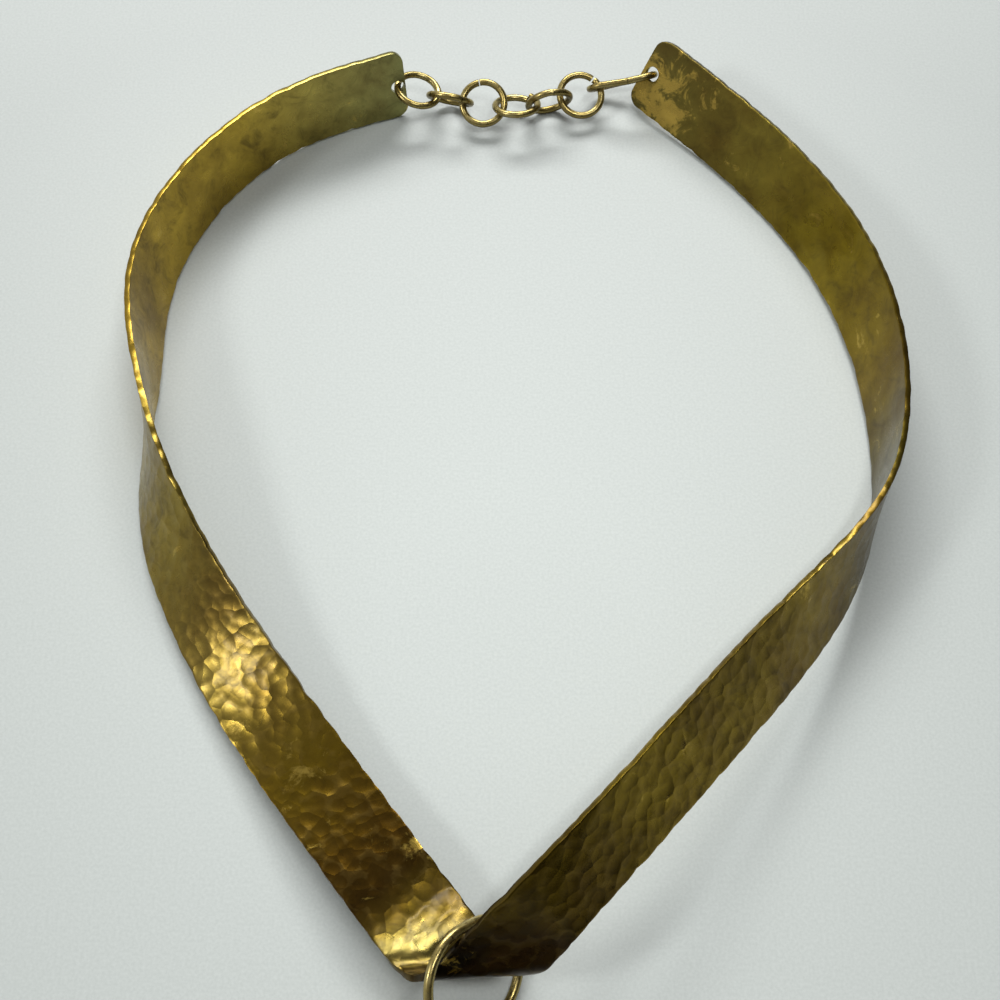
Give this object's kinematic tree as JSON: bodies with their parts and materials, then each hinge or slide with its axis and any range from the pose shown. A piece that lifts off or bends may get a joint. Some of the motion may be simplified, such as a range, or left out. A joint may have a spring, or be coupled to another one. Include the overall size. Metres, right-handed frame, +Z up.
{
  "type": "medallion choker necklace",
  "caption": "Choker of one hammered brass strip folded over at the front and closed behind by a short chain, with a wire ring through the fold carrying a plain round medallion.",
  "frame": {"origin": "on the surface that the choker lies on, under the middle of its bounding box", "axes": "+Z up from the surface, -Y towards the front fold and the medallion, +X towards the end of the strip that the long link is hooked into"},
  "size_m": [0.1234, 0.2092, 0.0219],
  "materials": {
    "hammered_brass": "planished, dark olive-brown patina, worn bright on the edges",
    "wire_brass": "drawn wire, pale gold with darkened undersides",
    "medallion_brass": "planished, olive-brown patina"
  },
  "bodies": {
    "root": {"neckband": "hammered_brass", "chain_ring_1": "wire_brass", "chain_ring_2": "wire_brass", "chain_ring_3": "wire_brass", "chain_ring_4": "wire_brass", "chain_ring_5": "wire_brass", "chain_ring_6": "wire_brass", "hook_link": "wire_brass", "pendant_ring": "wire_brass", "medallion": "medallion_brass"}
  },
  "joints": []
}
